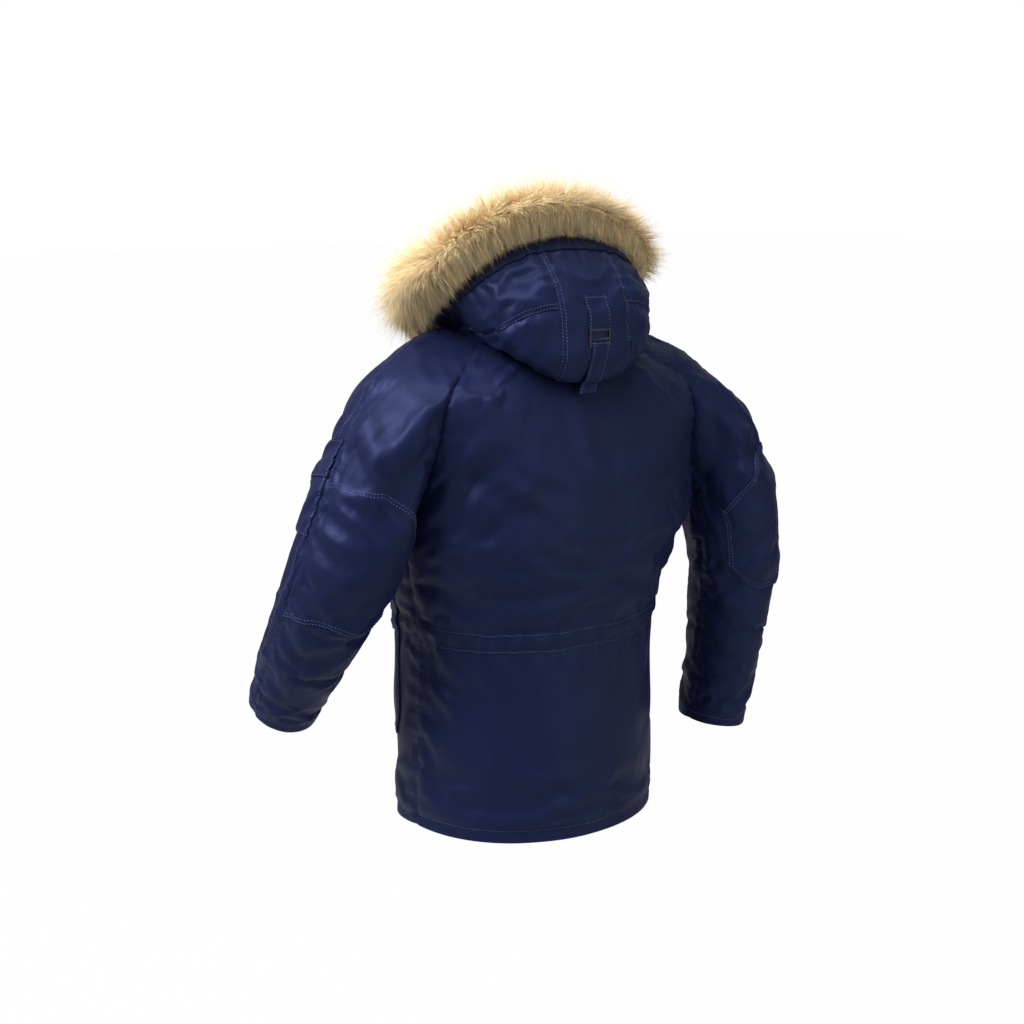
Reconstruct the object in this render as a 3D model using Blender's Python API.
"""Hooded winter parka with a fur-trimmed hood, filled out as it is when worn.

Metres, +Z up. The coat faces -Y and its left side is +X. The origin is where the
wearer's shoulders carry the coat: on the centre plane, level with the neck seam.

Every padded piece is a wall with an outer and an inner face. Pieces that are sewn
together share their edge points, and SEAM_GAP parts them there.
"""

import math
from collections import defaultdict, namedtuple

import bpy
import numpy as np

PADDED_WALL = 0.003  # shell cloth, wadding and lining, pressed together
SEAM_GAP = 0.0004
LIFT = 0.0004  # between a piece and what it lies on
SAME_POINT = 1e-7  # points nearer than this are one corner of a solid
SAME_SEWN_POINT = 1e-5  # and the edge points of two panels meet
EDGE_ORDER = np.array([0.13, 0.29, 1.0])  # tells the ends of an edge apart

BODY_COLUMNS = 20  # across the back, and across both fronts together
SKIRT_ROWS = 14  # from the hem to the armpit
BODY_SPREAD = 1.12  # above 1, because a square section's points crowd at its middle
YOKE_ROWS = 10  # from the armpit to the neck
CORNER_ROWS = 4  # of them, from the neck to the armhole's corner
SADDLE_COLUMNS = 3  # of each sleeve half, along the neck seam
CAP_ROWS = 5  # of each sleeve, from the armhole to the upper arm
ARM_ROWS = 16  # of each sleeve, from the upper arm to the cuff
HOOD_LOWER_ROWS = 4  # from the neck seam to the hood's side seam
HOOD_UPPER_ROWS = 7  # from the side seam to the rim

# ---------------------------------------------------------------- tables of sections

# One row for each level of half a body panel, from its middle (centre back or centre
# front, x = 0) round to its edge on the left side: the side seam up to the armpit, then
# the armhole, then the slanting saddle seam to the neck. turn is how far round the edge
# is, in degrees of the section's curve, and square is its exponent: 2 is an ellipse.
# swing is how much of RIGHT_SWING the right edge has, where that arm hangs back.
BodyRow = namedtuple("BodyRow", "level y_mid z_mid x_edge y_edge z_edge turn square swing")

BACK = [
    BodyRow("hem", 0.186, -0.818, 0.229, -0.004, -0.806, 90, 2.1, 0.0),
    BodyRow("skirt", 0.184, -0.660, 0.228, -0.002, -0.650, 90, 2.1, 0.0),
    BodyRow("waist", 0.178, -0.500, 0.226, 0.002, -0.490, 90, 2.2, 0.0),
    BodyRow("ribs", 0.188, -0.400, 0.244, 0.010, -0.395, 90, 2.2, 0.2),
    BodyRow("armpit", 0.192, -0.315, 0.268, 0.026, -0.312, 90, 2.4, 1.0),
    BodyRow("blade", 0.187, -0.215, 0.264, 0.088, -0.210, 66, 2.5, 0.5),
    BodyRow("yoke", 0.174, -0.130, 0.260, 0.118, -0.128, 60, 2.6, 0.2),
    BodyRow("corner", 0.160, -0.085, 0.250, 0.124, -0.082, 58, 2.6, 0.0),
    BodyRow("saddle", 0.138, -0.046, 0.192, 0.090, -0.036, 58, 2.4, 0.0),
    BodyRow("neck", 0.104, -0.014, 0.130, 0.040, -0.004, 62, 2.2, 0.0),
]
FRONT = [
    BodyRow("hem", -0.182, -0.818, 0.229, -0.004, -0.806, 90, 2.3, 0.0),
    BodyRow("skirt", -0.181, -0.660, 0.228, -0.002, -0.650, 90, 2.3, 0.0),
    BodyRow("waist", -0.174, -0.498, 0.226, 0.002, -0.490, 90, 2.3, 0.0),
    BodyRow("ribs", -0.176, -0.398, 0.244, 0.010, -0.395, 90, 2.3, 0.2),
    BodyRow("armpit", -0.176, -0.315, 0.268, 0.026, -0.312, 90, 2.4, 1.0),
    BodyRow("chest", -0.174, -0.230, 0.256, -0.060, -0.212, 66, 2.5, 0.5),
    BodyRow("upper", -0.162, -0.160, 0.242, -0.090, -0.128, 60, 2.5, 0.2),
    BodyRow("corner", -0.152, -0.120, 0.230, -0.100, -0.082, 58, 2.4, 0.0),
    BodyRow("saddle", -0.135, -0.083, 0.176, -0.090, -0.038, 58, 2.3, 0.0),
    BodyRow("neck", -0.118, -0.052, 0.122, -0.072, -0.002, 62, 2.2, 0.0),
]
RIGHT_SWING = (0.016, 0.052, 0.030)
ARMPIT_LEVEL = 4  # the row of both tables where the side seam ends
OVERARM_AT_NECK = (0.140, -0.018, 0.022)

# Rings of a sleeve from the upper arm to the cuff: the middle, and the half widths across
# (towards the overarm seam) and deep (towards the back). x is for the left arm.
ArmRing = namedtuple("ArmRing", "x y z across deep")

LEFT_ARM = [
    ArmRing(0.303, 0.028, -0.168, 0.080, 0.099),
    ArmRing(0.335, 0.022, -0.250, 0.084, 0.096),
    ArmRing(0.365, 0.004, -0.337, 0.083, 0.091),
    ArmRing(0.384, -0.034, -0.422, 0.077, 0.080),
    ArmRing(0.391, -0.083, -0.497, 0.069, 0.070),
    ArmRing(0.391, -0.131, -0.565, 0.061, 0.062),
    ArmRing(0.389, -0.161, -0.608, 0.057, 0.058),
]
RIGHT_ARM = [
    ArmRing(0.324, 0.084, -0.184, 0.086, 0.090),
    ArmRing(0.360, 0.098, -0.264, 0.083, 0.088),
    ArmRing(0.382, 0.104, -0.350, 0.076, 0.084),
    ArmRing(0.390, 0.100, -0.440, 0.071, 0.078),
    ArmRing(0.386, 0.092, -0.530, 0.065, 0.072),
    ArmRing(0.380, 0.082, -0.625, 0.060, 0.066),
    ArmRing(0.370, 0.074, -0.712, 0.056, 0.060),
]
CAP_DROPS = {"left": 0.10, "right": 0.20}  # how steeply each sleeve leaves the shoulder
SADDLE_ANGLE = 14  # of the saddle's inner end, round the upper arm from the overarm seam
CORNER_ANGLE = 62  # and of the armhole's corner
CAP_ACROSS, CAP_RISE = 0.25, 0.1  # how far the cloth leaves the armhole sideways and up
UNDERARM_WAY = (0.68, 0.0, -0.74)  # and the way it leaves at the armpit
ARM_SLANT = 0.18  # how much further down the arm its first ring is below than above
ARM_STEP = 0.002  # the short step that gives the arm's direction

# Rings of the hood, from the neck seam to the rim. Each is a U open at the front: its side
# (x, y, z), its middle at the back (y, z), its end at the front (x, y, z), and how square
# the back is.
HoodRing = namedtuple("HoodRing", "x y z y_back z_back x_end y_end z_end square")

HOOD = [
    HoodRing(0.140, -0.018, 0.024, 0.104, -0.012, 0.006, -0.118, -0.050, 2.2),
    HoodRing(0.150, -0.008, 0.033, 0.146, -0.040, 0.012, -0.123, -0.045, 2.4),
    HoodRing(0.160, 0.002, 0.042, 0.170, -0.061, 0.018, -0.127, -0.040, 2.6),
    HoodRing(0.167, 0.012, 0.050, 0.185, -0.032, 0.024, -0.130, -0.034, 3.0),
    HoodRing(0.173, 0.021, 0.057, 0.187, 0.020, 0.031, -0.132, -0.028, 3.0),
    HoodRing(0.177, 0.030, 0.064, 0.180, 0.066, 0.037, -0.132, -0.022, 2.8),
    HoodRing(0.179, 0.038, 0.071, 0.160, 0.110, 0.043, -0.131, -0.016, 2.6),
    HoodRing(0.178, 0.044, 0.078, 0.128, 0.146, 0.049, -0.129, -0.011, 2.4),
    HoodRing(0.176, 0.044, 0.092, 0.094, 0.172, 0.056, -0.126, -0.006, 2.3),
]
HOOD_LEAN = 0.04  # how much lower the rim hangs on the right, for each metre across
HOOD_LEAN_BEND = 2.5
HOOD_CENTRE_HALF = 0.072
HOOD_CENTRE_COLUMNS = (0.0, 0.31, 0.66, 1.0)  # shares of the centre panel's half width
HOOD_SEAM_HIGH = 0.577  # share of the way to the rim, where the side seam starts
HOOD_SEAM_END = 12  # the neck seam's point where it comes down
HOOD_SEAM_BEND = 2.6
HOOD_BACK_BEND, HOOD_FRONT_BEND = 1.35, 1.5  # how late a ring's height changes
SHARE_TRIES = 401
HOOD_NECK_REACH = 0.18  # share of the way to the rim that the neck seam's shape reaches
HOOD_LIFT = 0.0008  # of the hood's lower edge above the neck seam
# The neck seam's points that the hood's columns stand on, counted from the centre back.
NECK_STEPS_CENTRE = (0, 2, 3, 5)
NECK_STEPS_SIDE = (7, 8, 9, 10, 11, 12, 13, 14, 16, 18, 20, 22, 24, 26)
NECK_FRONT_HALF_GAP = 0.006

BAND_ROWS = 2  # of the hood's rows that the ruff's band covers
BAND_WALL = 0.0025

# The ruff's section at the rim: onward from the rim along the hood, and up from the
# band's outer face. It closes over the band, from RUFF_SEAT behind the rim to just off it.
RuffStep = namedtuple("RuffStep", "onward up")
RUFF = [
    RuffStep(-0.034, 0.016),
    RuffStep(-0.034, 0.042),
    RuffStep(-0.022, 0.064),
    RuffStep(0.000, 0.075),
    RuffStep(0.026, 0.075),
    RuffStep(0.047, 0.062),
    RuffStep(0.060, 0.042),
    RuffStep(0.062, 0.018),
    RuffStep(0.052, -0.004),
    RuffStep(0.032, -0.016),
    RuffStep(0.012, -0.012),
]
RUFF_SEAT = 0.018
RUFF_OFF_RIM = 0.0045
RUFF_CLEAR = 0.0007  # between the ruff and the band
RUFF_SMOOTHING = 3  # how evenly the section turns along the rim
# How big the section is along the rim, from the right front end (-1) to the left one (1).
RuffShare = namedtuple("RuffShare", "place share")
RUFF_SHARES = [
    RuffShare(-1.0, 0.58),
    RuffShare(-0.7, 0.84),
    RuffShare(-0.4, 0.78),
    RuffShare(0.0, 1.00),
    RuffShare(0.4, 1.10),
    RuffShare(0.7, 1.04),
    RuffShare(1.0, 0.60),
]
RUFF_LOCK = 0.04  # share by which every second lock of fur stands out

STRAP_COLUMN = 1  # the hood column at the strap's edge
STRAP_ROWS = (3, 5)
STRAP_WALL = 0.002
TAIL_HALF = 0.017
# The strap's loose end from the buckle down: to the left, out from the hood's middle, and
# down from the strap's end. The last of it hangs free.
TailStep = namedtuple("TailStep", "x out down")
TAIL = [
    TailStep(0.000, 0.000, 0.0016),
    TailStep(0.000, 0.000, 0.014),
    TailStep(0.001, 0.000, 0.029),
    TailStep(0.003, 0.000, 0.044),
    TailStep(0.006, 0.003, 0.058),
    TailStep(0.010, 0.006, 0.071),
    TailStep(0.015, 0.007, 0.084),
]

# The buckle is a flat plate with two slots, BUCKLE_HEIGHT off the hood. Its columns and
# rows of points are measured from the bar between the slots, and BUCKLE_TEETH is how far
# each column's lowest point reaches below its row.
BUCKLE_HEIGHT = 0.0085
BUCKLE_WALL = 0.0024
BUCKLE_ACROSS = (-0.022, -0.0185, -0.012, -0.006, 0.0, 0.006, 0.012, 0.0185, 0.022)
BUCKLE_UP = (-0.013, -0.008, -0.0015, 0.0015, 0.0135, 0.017)
BUCKLE_TEETH = (0.0, 0.0, 0.0022, 0.0004, 0.0055, 0.0004, 0.0022, 0.0, 0.0)
BUCKLE_SLOTS = (1, 3)  # which rows of cells are open, between the first and last column

# Overlays: which rows and columns of a panel they cover, counted from its own first row
# and from its overarm seam or its middle.
Overlay = namedtuple("Overlay", "rows columns wall bulge")
SLEEVE_POCKET = Overlay((6, 10), (1, 7), 0.003, 0.004)
SLEEVE_POCKET_FLAP = Overlay((5, 7), (1, 7), 0.0025, 0.0)
FRONT_POCKET = Overlay((4, 10), (3, 8), 0.003, 0.003)
FRONT_FLAP = Overlay((9, 11), (3, 8), 0.0025, 0.0)

# The elbow patches' edges cross the sleeves' rows at a slant: at each column, counted from
# the overarm seam, the first and the last row, in rows and parts of them.
PatchEdge = namedtuple("PatchEdge", "column first last")
ELBOW_PATCH_LEFT = [
    PatchEdge(0, 7.2, 14.0),
    PatchEdge(4, 6.9, 13.5),
    PatchEdge(5, 6.6, 13.2),
    PatchEdge(7, 5.4, 12.8),
    PatchEdge(8, 4.4, 12.6),
    PatchEdge(9, 3.4, 12.4),
    PatchEdge(10, 3.2, 11.6),
    PatchEdge(11, 3.4, 9.2),
]
ELBOW_PATCH_RIGHT = [
    PatchEdge(0, 7, 14.0),
    PatchEdge(4, 7, 13.5),
    PatchEdge(5, 6, 13.2),
    PatchEdge(6, 6, 13.0),
    PatchEdge(7, 5, 12.8),
    PatchEdge(8, 5, 12.6),
    PatchEdge(9, 4, 12.4),
    PatchEdge(10, 4, 11.6),
    PatchEdge(11, 4, 9.2),
]
ELBOW_PATCH_WALL = 0.0018
ELBOW_PATCH_LIFT = 0.0008  # its slanted edges cross the corners between the panel's faces

ZIP_HALF = 0.011
ZIP_WALL = 0.0016
FLAP_HALF = 0.036
FLAP_WALL = 0.003
FLAP_RISES = (0.0014, 0.0022, 0.0034, 0.0022, 0.0004)  # from its loose edge to its sewn one

# The largest folds of the filled cloth: a line from one place to another, how far it
# stands out (or lies in, below zero), and how far to each side it reaches.
Fold = namedtuple("Fold", "x0 y0 z0 x1 y1 z1 rise reach")
FOLDS = [
    Fold(0.255, 0.13, -0.24, 0.12, 0.20, -0.13, -0.007, 0.020),
    Fold(0.250, 0.15, -0.29, 0.10, 0.20, -0.19, 0.006, 0.020),
    Fold(0.250, 0.12, -0.33, 0.13, 0.20, -0.24, -0.006, 0.020),
    Fold(0.225, 0.05, -0.54, 0.17, 0.15, -0.60, -0.005, 0.020),
    Fold(0.225, 0.05, -0.62, 0.16, 0.15, -0.68, 0.004, 0.022),
    Fold(0.310, 0.13, -0.10, 0.390, 0.09, -0.22, 0.006, 0.022),
    Fold(0.320, 0.14, -0.15, 0.370, 0.11, -0.27, -0.007, 0.020),
    Fold(0.340, 0.10, -0.40, 0.450, 0.02, -0.42, -0.006, 0.020),
    Fold(0.360, 0.06, -0.47, 0.455, -0.03, -0.50, -0.006, 0.020),
    Fold(-0.330, 0.19, -0.20, -0.430, 0.14, -0.24, -0.007, 0.020),
    Fold(-0.330, 0.19, -0.24, -0.440, 0.14, -0.29, 0.006, 0.020),
    Fold(-0.340, 0.17, -0.37, -0.450, 0.10, -0.38, -0.008, 0.020),
    Fold(-0.330, 0.15, -0.43, -0.450, 0.10, -0.44, -0.006, 0.020),
    Fold(0.250, -0.08, -0.26, 0.12, -0.18, -0.17, -0.006, 0.022),
    Fold(-0.250, -0.08, -0.26, -0.12, -0.18, -0.17, -0.006, 0.022),
]


# ---------------------------------------------------------------- small mathematics


def unit(v):
    return v / np.linalg.norm(v)


def between(a, b, share):
    return a + (b - a) * share


def spline(knots, values, at):
    """The smooth curve through values, one row for each knot, read at the places in at."""
    knots, values, at = (np.asarray(a, float) for a in (knots, values, at))
    slopes = np.gradient(values, knots, axis=0)
    i = np.clip(np.searchsorted(knots, at, side="right") - 1, 0, len(knots) - 2)
    h = (knots[i + 1] - knots[i])[:, None]
    t = (at - knots[i])[:, None] / h
    return (
        values[i] * (2 * t**3 - 3 * t**2 + 1)
        + values[i + 1] * (3 * t**2 - 2 * t**3)
        + slopes[i] * h * (t**3 - 2 * t**2 + t)
        + slopes[i + 1] * h * (t**3 - t**2)
    )


def along(points):
    """How far along a line each of its points is."""
    steps = np.linalg.norm(np.diff(np.asarray(points, float), axis=0), axis=1)
    return np.concatenate([[0.0], np.cumsum(steps)])


def powered(value, power):
    """value to the power, and nothing below zero."""
    return max(value, 0.0) ** power


def fold_height(point):
    """How far the folds lift the cloth at a place."""
    height = 0.0
    for fold in FOLDS:
        start, end = np.array(fold[0:3]), np.array(fold[3:6])
        line = end - start
        share = np.clip((point - start) @ line / (line @ line), 0, 1)
        away = np.linalg.norm(point - start - line * share)
        height += fold.rise * math.exp(-((away / fold.reach) ** 2)) * (1 - (2 * share - 1) ** 4)
    return height


# ---------------------------------------------------------------- body panels


def body_levels(table):
    """The table's rows read at every level of the mesh, hem first."""
    numbers = [row[1:] for row in table]
    knots = along([(row.x_edge, row.y_edge, row.z_edge) for row in table])
    levels = np.concatenate(
        [
            np.linspace(0, knots[ARMPIT_LEVEL], SKIRT_ROWS + 1),
            np.linspace(knots[ARMPIT_LEVEL], knots[-1], YOKE_ROWS + 1)[1:],
        ]
    )
    return [BodyRow("", *row) for row in spline(knots, numbers, levels)]


def body_point(row, share, swing):
    """The point of a level at share, 0 at the panel's middle and 1 at its left edge."""
    power = 2 / row.square
    last = math.radians(min(row.turn, 90))
    angle = last * share
    out = powered(math.sin(angle), power) / powered(math.sin(last), power)
    low = powered(math.cos(last), power)
    back = (powered(math.cos(angle), power) - low) / (1 - low)
    place = np.array(
        [
            row.x_edge * out,
            row.y_edge + (row.y_mid - row.y_edge) * back,
            row.z_edge + (row.z_mid - row.z_edge) * back,
        ]
    )
    return place + swing * row.swing * share**3


def half_panel(table, swing):
    """Rows of points, hem first, each from the panel's middle to its left edge."""
    columns = BODY_COLUMNS // 2
    shares = [(k / columns) ** BODY_SPREAD for k in range(columns + 1)]
    return [[body_point(row, s, swing) for s in shares] for row in body_levels(table)]


def body_halves(swing):
    """The back's and the front's half panels, with the same points down the side seam."""
    back, front = half_panel(BACK, swing), half_panel(FRONT, swing)
    for row_back, row_front in zip(back[: SKIRT_ROWS + 1], front):
        row_front[-1] = row_back[-1]
    return back, front


def mirrored(rows):
    """The same points on the other side, in the same order."""
    return [[p * (-1, 1, 1) for p in row] for row in rows]


def turned(rows):
    """The same grid with each row the other way round, so that its faces turn round."""
    return [row[::-1] for row in rows]


# ---------------------------------------------------------------- sleeves


def arm_ring(table, place):
    """(middle, across, deep, forward) of the arm at a place along its middle line."""
    knots = along([ring[:3] for ring in table])
    numbers = [tuple(ring) for ring in table]
    place = min(place, knots[-1] - ARM_STEP)
    here, onward = spline(knots, numbers, [place, place + ARM_STEP])
    return here[:3], here[3], here[4], unit(onward[:3] - here[:3])


def ring_point(ring, angle, side):
    """A point of an arm ring: angle 0 is the overarm seam, 90 the back or the front."""
    middle, across, deep, forward = ring
    outward = unit(np.array([1.0, 0, 0]) - forward * forward[0])
    backward = np.cross(forward, outward)
    if backward[1] < 0:
        backward = -backward
    a = math.radians(angle)
    return middle + outward * across * math.cos(a) + backward * side * deep * math.sin(a)


def saddle_line(neck_edge):
    """Points along the neck seam from the overarm seam to a body panel, without its own."""
    start = np.array(OVERARM_AT_NECK)
    return [between(start, neck_edge, k / SADDLE_COLUMNS) for k in range(SADDLE_COLUMNS)]


def cap_way(angle, side, drop):
    """The way that a sleeve's cloth leaves the armhole, at this angle round the arm."""
    a = math.radians(angle)
    across, rise = CAP_ACROSS * side * math.sin(a), CAP_RISE * math.cos(a)
    upper = unit(np.array([1.0, across, rise - drop]))
    return unit(between(upper, np.array(UNDERARM_WAY), max(angle - 90, 0) / 90))


def sleeve_half(edge, table, drop, side):
    """Rows of points of half a left sleeve, armhole first, each from overarm to underarm.

    edge is the body panel's edge from the armpit to the neck, and side is +1 for the
    back half and -1 for the front half.
    """
    start = saddle_line(edge[-1]) + list(edge[::-1])
    done = along(start)
    corner = SADDLE_COLUMNS + CORNER_ROWS
    knots = [0, done[SADDLE_COLUMNS], done[corner], done[-1]]
    angles = np.interp(done, knots, [0, SADDLE_ANGLE, CORNER_ANGLE, 180])
    length = along([ring[:3] for ring in table])[-1]
    rows = []
    for k in range(ARM_ROWS + 1):
        slant = ARM_SLANT * (1 - k / ARM_ROWS) ** 2
        row = []
        for angle in angles:
            down = slant * (1 - math.cos(math.radians(angle))) / 2
            row.append(ring_point(arm_ring(table, length * k / ARM_ROWS + down), angle, side))
        rows.append(row)
    forward = [unit(b - a) for a, b in zip(rows[0], rows[1])]
    return cap_rows(start, rows[0], forward, angles, drop, side) + rows


def cap_rows(start, end, forward, angles, drop, side):
    """The rows of a sleeve between the armhole and the arm's first ring."""
    rows = []
    for k in range(CAP_ROWS):
        t = k / CAP_ROWS
        row = []
        for here, there, onward, angle in zip(start, end, forward, angles):
            reach = np.linalg.norm(there - here)
            row.append(
                here * (2 * t**3 - 3 * t**2 + 1)
                + there * (3 * t**2 - 2 * t**3)
                + cap_way(angle, side, drop) * reach * (t**3 - 2 * t**2 + t)
                + onward * reach * (t**3 - t**2)
            )
        rows.append(row)
    return rows


# ---------------------------------------------------------------- hood


def hood_ring(share):
    """The hood's ring at a share of the way from the neck seam to the rim."""
    knots = along([(0, r.y_back, r.z_back) for r in HOOD])
    return HoodRing(*spline(knots, [tuple(r) for r in HOOD], [knots[-1] * share])[0])


def round_share(ring, x):
    """How far round the ring, from the middle of the back, its back reaches x."""
    return math.asin((x / ring.x) ** (ring.square / 2)) / math.pi


def hood_point(ring, share):
    """share 0 is the middle of the back, 0.5 the side and 1 the end at the front."""
    cos, sin = math.cos(math.pi * share), math.sin(math.pi * share)
    if share <= 0.5:
        power = 2 / ring.square
        return np.array(
            [
                ring.x * powered(sin, power),
                ring.y + (ring.y_back - ring.y) * powered(cos, power),
                ring.z + (ring.z_back - ring.z) * powered(cos, HOOD_BACK_BEND),
            ]
        )
    return np.array(
        [
            ring.x_end + (ring.x - ring.x_end) * sin,
            ring.y + (ring.y_end - ring.y) * -cos,
            ring.z + (ring.z_end - ring.z) * powered(-cos, HOOD_FRONT_BEND),
        ]
    )


def share_beside(foot):
    """How far round the side panel, from the centre seam, the neck seam's point lies."""
    ring = hood_ring(0)
    first = round_share(ring, HOOD_CENTRE_HALF)
    tries = np.linspace(0, 1, SHARE_TRIES)
    away = [np.linalg.norm(hood_point(ring, between(first, 1, t)) - foot) for t in tries]
    return tries[int(np.argmin(away))]


def hood_half(neck, lean):
    """The left half of the hood: rows from the neck seam to the rim, columns from the back.

    neck is the neck seam, from the centre back to the centre front, and lean is how much
    this side rises towards the rim.
    """
    columns = [(neck[k], share, None) for k, share in zip(NECK_STEPS_CENTRE, HOOD_CENTRE_COLUMNS)]
    columns += [(neck[k], 1.0, share_beside(neck[k])) for k in NECK_STEPS_SIDE]
    seam_end = share_beside(neck[HOOD_SEAM_END])
    rows = []
    for i in range(HOOD_LOWER_ROWS + HOOD_UPPER_ROWS + 1):
        row = []
        for j, (foot, across, round_side) in enumerate(columns):
            fallen = min((round_side or 0) / seam_end, 1) ** HOOD_SEAM_BEND
            seam = HOOD_SEAM_HIGH * (1 - fallen)
            if i <= HOOD_LOWER_ROWS:
                # Fewer rows, the rest on the neck seam, where the panel runs to a point.
                kept = max(math.ceil(HOOD_LOWER_ROWS * (1 - fallen)), 1)
                up = seam * max(i + kept - HOOD_LOWER_ROWS, 0) / kept
            else:
                up = between(seam, 1.0, (i - HOOD_LOWER_ROWS) / HOOD_UPPER_ROWS)
            if round_side is not None:
                even = (j + 1 - len(NECK_STEPS_CENTRE)) / len(NECK_STEPS_SIDE)
                round_side = between(round_side, even, up)
            point = hood_cloth(foot, across, round_side, up)
            row.append(point + np.array([0, 0, lean * point[0] * up**HOOD_LEAN_BEND]))
        rows.append(row)
    return rows


def hood_cloth(foot, across, round_side, up):
    """A point of the hood: up is its share of the way to the rim, from foot on the neck."""
    places = []
    for share in (up, 0.0):
        ring = hood_ring(share)
        turn = round_share(ring, HOOD_CENTRE_HALF * across)
        if round_side is not None:
            turn = between(turn, 1.0, round_side)
        places.append(hood_point(ring, turn))
    settle = powered(1 - up / HOOD_NECK_REACH, 2)
    return places[0] + (foot - places[1]) * settle


# ---------------------------------------------------------------- making solids


def material(name, colour, roughness, metallic=0.0):
    made = bpy.data.materials.new(name)
    made.use_nodes = True
    shader = made.node_tree.nodes["Principled BSDF"]
    shader.inputs["Base Color"].default_value = (*colour, 1)
    shader.inputs["Roughness"].default_value = roughness
    shader.inputs["Metallic"].default_value = metallic
    return made


def new_object(name, points, faces, finish):
    mesh = bpy.data.meshes.new(name)
    mesh.from_pydata([tuple(p) for p in points], [], faces)
    mesh.shade_smooth()
    mesh.set_sharp_from_angle(angle=math.radians(50))
    mesh.materials.append(finish)
    made = bpy.data.objects.new(name, mesh)
    bpy.context.scene.collection.objects.link(made)
    return made


def grid_triangles(rows, columns, start=0, turned=False):
    """Triangles of a grid of points, all cut along the same diagonal."""
    found = []
    for i in range(rows - 1):
        for j in range(columns - 1):
            a = start + i * columns + j
            b, c, d = a + 1, a + columns + 1, a + columns
            found += [(a, b, c), (a, c, d)]
    return [t[::-1] for t in found] if turned else found


def welded(points, faces):
    """The same faces on points that are each there once, without those that close up."""
    first, kept, number = {}, [], []
    for point in points:
        place = tuple(np.round(np.asarray(point) / SAME_POINT))
        if place not in first:
            first[place] = len(kept)
            kept.append(point)
        number.append(first[place])
    faces = [tuple(number[k] for k in face) for face in faces]
    return kept, [face for face in faces if len(set(face)) == len(face)]


def slab(name, outer, inner, finish):
    """The closed solid between two grids of the same size. outer's faces point outwards."""
    rows, columns = len(outer), len(outer[0])
    points = [p for row in outer for p in row] + [p for row in inner for p in row]
    far = rows * columns
    faces = grid_triangles(rows, columns)
    faces += grid_triangles(rows, columns, far, turned=True)
    rim = list(range(columns))
    rim += [i * columns + columns - 1 for i in range(1, rows)]
    rim += [(rows - 1) * columns + j for j in range(columns - 2, -1, -1)]
    rim += [i * columns for i in range(rows - 2, 0, -1)]
    for a, b in zip(rim, rim[1:] + rim[:1]):
        # Cut from the higher end, so that two edges that are sewn together match.
        if points[a] @ EDGE_ORDER > points[b] @ EDGE_ORDER:
            faces += [(b, a, b + far), (a, a + far, b + far)]
        else:
            faces += [(b, a, a + far), (b, a + far, b + far)]
    return new_object(name, *welded(points, faces), finish)


def tube(name, rings, finish):
    """The closed solid through rings of points, with a fan of faces on each end."""
    sides = len(rings[0])
    points = [p for ring in rings for p in ring]
    points += [np.mean(rings[0], axis=0), np.mean(rings[-1], axis=0)]
    faces = []
    for i in range(len(rings) - 1):
        for j in range(sides):
            a, b = i * sides + j, i * sides + (j + 1) % sides
            faces += [(a, b, b + sides), (a, b + sides, a + sides)]
    first, last = len(points) - 2, len(points) - 1
    for j in range(sides):
        k = (j + 1) % sides
        end = (len(rings) - 1) * sides
        faces += [(first, k, j), (last, end + j, end + k)]
    return new_object(name, points, faces, finish)


class Sewing:
    """Panels that share edge points, made into walls with a gap at each seam."""

    def __init__(self):
        self.panels = {}

    def add(self, name, rows, wall, finish):
        """rows is a grid whose triangles, as grid_triangles cuts them, face outwards."""
        self.panels[name] = (np.array(rows, float), wall, finish)

    @staticmethod
    def key(point):
        return tuple(np.round(point / SAME_SEWN_POINT).astype(int))

    def normals(self):
        """One outward normal for each point, with an equal say for each panel there."""
        total = defaultdict(lambda: np.zeros(3))
        for grid, _, _ in self.panels.values():
            rows, columns = grid.shape[:2]
            flat = grid.reshape(-1, 3)
            own = defaultdict(lambda: np.zeros(3))
            for face in grid_triangles(rows, columns):
                a, b, c = flat[list(face)]
                for corner in (a, b, c):
                    own[self.key(corner)] += np.cross(b - a, c - a)
            for key, across in own.items():
                total[key] += unit(across)
        return total

    def inward_ways(self):
        """For each edge point, the panels that meet there and their ways inwards."""
        found = defaultdict(dict)
        for name, (grid, _, _) in self.panels.items():
            rows, columns = grid.shape[:2]
            for i in range(rows):
                for j in range(columns):
                    if 0 < i < rows - 1 and 0 < j < columns - 1:
                        continue
                    next_i = min(max(i, 1), rows - 2)
                    next_j = min(max(j, 1), columns - 2)
                    way = grid[next_i, next_j] - grid[i, j]
                    if way.any():
                        found[self.key(grid[i, j])][name] = unit(way)
        return found

    def make(self):
        """Makes each panel's solid and returns {name: (outer grid, normals)}."""
        normals, ways = self.normals(), self.inward_ways()
        made = {}
        for name, (grid, wall, finish) in self.panels.items():
            outer, out = grid.copy(), np.zeros_like(grid)
            for i in range(grid.shape[0]):
                for j in range(grid.shape[1]):
                    place = grid[i, j]
                    out[i, j] = unit(normals[self.key(place)])
                    outer[i, j] += out[i, j] * fold_height(place)
                    meeting = ways.get(self.key(place), {})
                    if len(meeting) > 1:
                        others = [w for n, w in meeting.items() if n != name]
                        apart = unit(meeting[name] - np.mean(others, axis=0))
                        outer[i, j] += apart * SEAM_GAP
            slab(name, outer, outer - out * wall, finish)
            made[name] = (outer, out)
        return made


# ---------------------------------------------------------------- the coat


def clear_scene():
    for old in list(bpy.data.objects):
        bpy.data.objects.remove(old)


def sew_body(sewing, left, right, shell):
    whole_back = [r[::-1] + l[1:] for l, r in zip(left[0], mirrored(right[0]))]
    sewing.add("back", turned(whole_back), PADDED_WALL, shell)
    sewing.add("front_left", left[1], PADDED_WALL, shell)
    sewing.add("front_right", turned(mirrored(right[1])), PADDED_WALL, shell)


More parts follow.
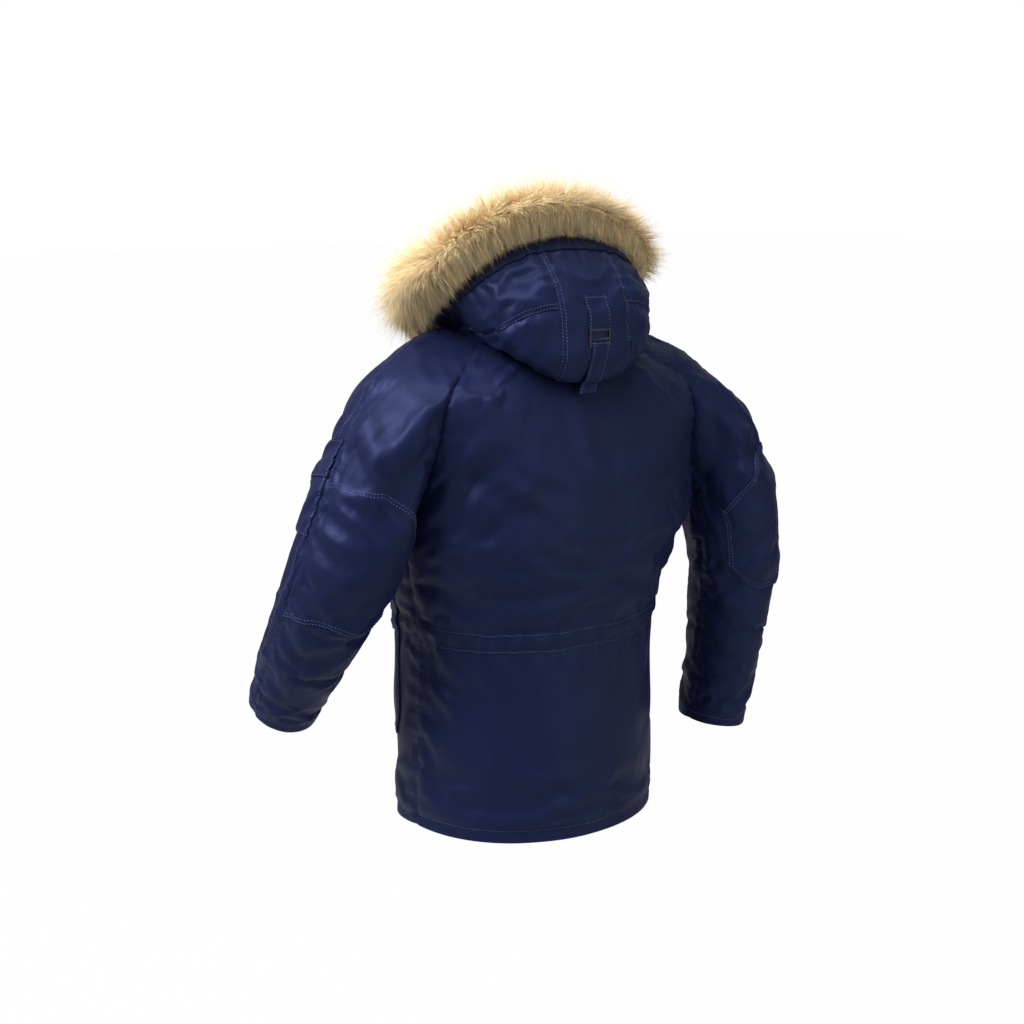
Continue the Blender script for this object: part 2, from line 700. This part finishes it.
def sew_sleeves(sewing, halves, arms, shell):
    for name in ("left", "right"):
        for half, panel, side in zip(("back", "front"), halves[name], (1, -1)):
            edge = [row[-1] for row in panel[SKIRT_ROWS:]]
            rows = sleeve_half(edge, arms[name], CAP_DROPS[name], side)
            if name == "right":
                rows = mirrored(rows)
            if (side > 0) == (name == "left"):
                rows = turned(rows)
            sewing.add(f"sleeve_{name}_{half}", rows, PADDED_WALL, shell)


def neck_seam(back, front):
    """The left half of the neck seam, from the centre back to the centre front."""
    seam = back[-1] + saddle_line(back[-1][-1])[::-1]
    seam += saddle_line(front[-1][-1])[1:] + front[-1][::-1]
    seam = [p + np.array([0, 0, HOOD_LIFT]) for p in seam]
    seam[-1] = seam[-1] + np.array([NECK_FRONT_HALF_GAP, 0, 0])
    return seam


def sew_hood(sewing, neck, shell):
    left, right = hood_half(neck, HOOD_LEAN), mirrored(hood_half(neck, -HOOD_LEAN))
    # From the left to the right, so that the faces point outwards.
    whole = turned([r[::-1] + l[1:] for l, r in zip(left, right)])
    middle, half = len(left[0]) - 1, len(NECK_STEPS_CENTRE) - 1
    low = HOOD_LOWER_ROWS
    centre = slice(middle - half, middle + half + 1)
    sides = {"left": slice(0, middle - half + 1), "right": slice(middle + half, None)}
    seam_columns = NECK_STEPS_SIDE.index(HOOD_SEAM_END) + 2
    under = {
        "left": slice(middle - half - seam_columns + 1, middle - half + 1),
        "right": slice(middle + half, middle + half + seam_columns),
    }
    sewing.add("hood_center", [row[centre] for row in whole], PADDED_WALL, shell)
    for name, columns in sides.items():
        lower = [row[under[name]] for row in whole[: low + 1]]
        upper = [row[columns] for row in whole[low:]]
        sewing.add(f"hood_lower_{name}", lower, PADDED_WALL, shell)
        sewing.add(f"hood_upper_{name}", upper, PADDED_WALL, shell)


def rim_rows(made):
    """The hood's last rows all round, from the left front to the right: points, normals."""
    names = ("hood_upper_left", "hood_center", "hood_upper_right")
    joined = []
    for part in (0, 1):
        pieces = [made[name][part][-BAND_ROWS - 1:] for name in names]
        left, centre, right = pieces
        seam_left = (left[:, -1:] + centre[:, :1]) / 2
        seam_right = (centre[:, -1:] + right[:, :1]) / 2
        rows = [left[:, :-1], seam_left, centre[:, 1:-1], seam_right, right[:, 1:]]
        joined.append(np.concatenate(rows, axis=1))
    return joined


def smoothed(ways):
    """Ways along a line, each turned towards its neighbours'."""
    for _ in range(RUFF_SMOOTHING):
        inner = ways[:-2] + 2 * ways[1:-1] + ways[2:]
        ways = np.concatenate([ways[:1], inner, ways[-1:]])
        ways = ways / np.linalg.norm(ways, axis=1)[:, None]
    return ways


def make_ruff(made, band_finish, fur_finish):
    points, out = rim_rows(made)
    inner = points + out * LIFT
    slab("ruff_band", inner + out * BAND_WALL, inner, band_finish)
    rows = np.linalg.norm(points[-1] - points[-2], axis=1)
    onwards = smoothed((points[-1] - points[-2]) / rows[:, None])
    normals = smoothed(out[-1])
    clear = LIFT + BAND_WALL + RUFF_CLEAR
    places = np.linspace(1, -1, len(rows))  # from the left end, as the rim's points are
    known, shares = zip(*RUFF_SHARES)
    sizes = spline(known, np.array(shares)[:, None], places)[:, 0]
    rings = []
    for k, size in enumerate(sizes):
        rim, onward = points[-1, k], onwards[k]
        normal = unit(normals[k] - onward * (normals[k] @ onward))
        back = min(RUFF_SEAT * size / rows[k], 0.9)
        ring = [between(rim, points[-2, k], back) + between(out[-1, k], out[-2, k], back) * clear]
        for s, step in enumerate(RUFF):
            lock = 1 + RUFF_LOCK * (-1) ** (k + s)
            far = step.onward * size * lock
            ring.append(rim + onward * far + normal * (step.up * size * lock + clear))
        ring.append(rim + onward * RUFF_OFF_RIM + out[-1, k] * clear)
        rings.append(ring[::-1])
    tube("fur_ruff", rings, fur_finish)


def lay(name, points, out, low, high, finish):
    """A piece over a grid of a panel's points, between two heights above it."""
    slab(name, points + out * high[..., None], points + out * low[..., None], finish)


def cut(panel, rows, columns):
    """A panel's points and normals in a range of its rows and columns, ends included."""
    return [grid[rows[0]: rows[1] + 1, columns[0]: columns[1] + 1] for grid in panel]


def crown(shape):
    """Heights that rise from 0 at the border of a grid to 1 in its middle."""
    down, across = (np.sin(np.linspace(0, np.pi, n)) for n in shape)
    return np.sqrt(np.clip(np.outer(down, across), 0, 1))


def top_of(piece):
    """How high above the panel an overlay's top is, at each of its points."""
    shape = [ends[1] - ends[0] + 1 for ends in (piece.rows, piece.columns)]
    return LIFT + piece.wall + piece.bulge * crown(shape)


def overlay(name, panel, piece, columns, finish, under=None):
    """A sewn-on piece of even thickness and an optional bulge, on a panel or a pocket."""
    points, out = cut(panel, piece.rows, columns)
    low = np.full(points.shape[:2], LIFT)
    if under:
        # The rows that both pieces have, in each one's own count.
        first, last = max(piece.rows[0], under.rows[0]), min(piece.rows[1], under.rows[1])
        below = top_of(under)[first - under.rows[0]: last - under.rows[0] + 1]
        low[first - piece.rows[0]: last - piece.rows[0] + 1] += below
    lay(name, points, out, low, low + top_of(piece) - LIFT, finish)


def slanted(grid, edges, columns, seam):
    """A panel's grid between a patch's edges, from one column to another.

    The edges are counted from the seam's column.
    """
    at = np.arange(columns[0], columns[1] + 1)
    column, first, last = zip(*edges)
    first, last = (np.interp(np.abs(at - seam), column, edge) for edge in (first, last))
    rows = np.arange(math.floor(min(first)), math.ceil(max(last)) + 1)
    rows = np.clip(rows[:, None], first, last)
    low = rows.astype(int)
    return between(grid[low, at], grid[low + 1, at], (rows - low)[..., None])


def from_last(panel, columns):
    """Column numbers that are counted from a panel's last column, as its grid has them."""
    last = panel[0].shape[1] - 1
    return last - columns[1], last - columns[0]


def make_overlays(made, shell):
    for side, edges in (("left", ELBOW_PATCH_LEFT), ("right", ELBOW_PATCH_RIGHT)):
        panel = made[f"sleeve_{side}_back"]
        columns = (0, edges[-1].column)
        seam = 0
        if side == "left":
            columns = from_last(panel, columns)
            seam = columns[1]
        points, out = (slanted(grid, edges, columns, seam) for grid in panel)
        low = np.full(points.shape[:2], ELBOW_PATCH_LIFT)
        lay(f"elbow_patch_{side}", points, out, low, low + ELBOW_PATCH_WALL, shell)
    panel = made["sleeve_left_front"]
    columns = SLEEVE_POCKET.columns
    overlay("sleeve_pocket", panel, SLEEVE_POCKET, columns, shell)
    overlay("sleeve_flap", panel, SLEEVE_POCKET_FLAP, columns, shell, SLEEVE_POCKET)
    for side in ("left", "right"):
        panel = made[f"front_{side}"]
        columns = FRONT_POCKET.columns
        if side == "right":
            columns = from_last(panel, columns)
        overlay(f"pocket_{side}", panel, FRONT_POCKET, columns, shell)
        overlay(f"pocket_flap_{side}", panel, FRONT_FLAP, columns, shell, FRONT_POCKET)


def across_front(right, left, distance):
    """The place this far across one row of both fronts, right of the middle below zero."""
    middle = (right[-1] + left[0]) / 2
    row = [middle] + list(left[1:] if distance > 0 else right[-2::-1])
    return placed(row, abs(distance))


def placed(line, distance):
    """The point this far along a line of points."""
    done = along(line)
    return np.array([np.interp(distance, done, axis) for axis in np.transpose(line)])


def make_front(made, tape, shell):
    """The closed zip over the meeting edges of the two fronts, and the flap over it."""
    right, left = made["front_right"], made["front_left"]
    columns = len(FLAP_RISES)
    for name, half, rises, wall, finish in (
        ("zip", ZIP_HALF, np.full(columns, LIFT), ZIP_WALL, tape),
        ("storm_flap", FLAP_HALF, np.array(FLAP_RISES), FLAP_WALL, shell),
    ):
        points, out = [], []
        for i in range(len(left[0])):
            middle = unit(right[1][i][-1] + left[1][i][0])
            points.append([])
            out.append([])
            for distance in np.linspace(-half, half, columns):
                beside = left[1][i][1] if distance > 0 else right[1][i][-2]
                points[-1].append(across_front(right[0][i], left[0][i], distance))
                out[-1].append(unit(between(middle, beside, abs(distance) / FLAP_HALF)))
        low = np.tile(rises, (len(points), 1))
        lay(name, np.array(points), np.array(out), low, low + wall, finish)


def make_strap(made, shell):
    """The strap down the hood's back, and its loose end. Returns how far back it reaches."""
    hood = made["hood_center"]
    half = len(NECK_STEPS_CENTRE) - 1
    points, out = cut(hood, STRAP_ROWS, (half - STRAP_COLUMN, half + STRAP_COLUMN))
    low = np.full(points.shape[:2], LIFT)
    lay("hood_strap", points, out, low, low + STRAP_WALL, shell)
    end = points[0, STRAP_COLUMN]
    middle = hood[0][STRAP_ROWS[0] - 1: STRAP_ROWS[1], half]
    line = []
    for step in TAIL:
        height = end[2] - step.down
        line.append((step.x, np.interp(height, middle[:, 2], middle[:, 1]) + step.out, height))
    out = np.cross((1, 0, 0), np.gradient(np.array(line), axis=0))
    out = out / np.linalg.norm(out, axis=1)[:, None]
    rows = [[p + (side * TAIL_HALF, 0, 0) for side in (-1, 0, 1)] for p in np.array(line)]
    inner, outer = (
        [[p + n * rise for p in row] for row, n in zip(rows, out)]
        for rise in (LIFT, LIFT + STRAP_WALL)
    )
    slab("strap_tail", outer, inner, shell)
    return end[1] + LIFT + STRAP_WALL


def make_buckle(strap, metal):
    """strap is how far back the strap reaches under the buckle."""
    columns, rows = len(BUCKLE_ACROSS), len(BUCKLE_UP)
    back = []
    for i, up in enumerate(BUCKLE_UP):
        for x, tooth in zip(BUCKLE_ACROSS, BUCKLE_TEETH):
            height = BUCKLE_HEIGHT + up - (tooth if i == 0 else 0)
            back.append(np.array([x, strap + LIFT, height]))
    far = len(back)
    faces, edges = [], set()
    for i in range(rows - 1):
        for j in range(columns - 1):
            if i in BUCKLE_SLOTS and 0 < j < columns - 2:
                continue
            a = i * columns + j
            b, c, d = a + 1, a + columns + 1, a + columns
            for face in ((a, b, c), (a, c, d)):
                faces += [face, tuple(far + k for k in face[::-1])]
                edges.update(zip(face, face[1:] + face[:1]))
    for a, b in edges:
        if (b, a) not in edges:
            faces += [(b, a, a + far), (b, a + far, b + far)]
    points = back + [p + np.array([0, BUCKLE_WALL, 0]) for p in back]
    new_object("hood_buckle", points, faces, metal)


def main():
    clear_scene()
    shell = material("navy_nylon", (0.020, 0.026, 0.085), 0.42)
    band_cloth = material("ruff_backing", (0.010, 0.011, 0.028), 0.8)
    fur = material("fur", (0.50, 0.36, 0.20), 0.9)
    tape = material("zip_tape", (0.010, 0.012, 0.035), 0.6)
    halves = {"left": body_halves(np.zeros(3)), "right": body_halves(np.array(RIGHT_SWING))}
    sewing = Sewing()
    sew_body(sewing, halves["left"], halves["right"], shell)
    sew_sleeves(sewing, halves, {"left": LEFT_ARM, "right": RIGHT_ARM}, shell)
    sew_hood(sewing, neck_seam(*halves["left"]), shell)
    made = sewing.make()
    make_ruff(made, band_cloth, fur)
    make_overlays(made, shell)
    make_front(made, tape, shell)
    strap = make_strap(made, shell)
    make_buckle(strap, material("buckle_metal", (0.36, 0.34, 0.31), 0.35, metallic=1.0))


main()
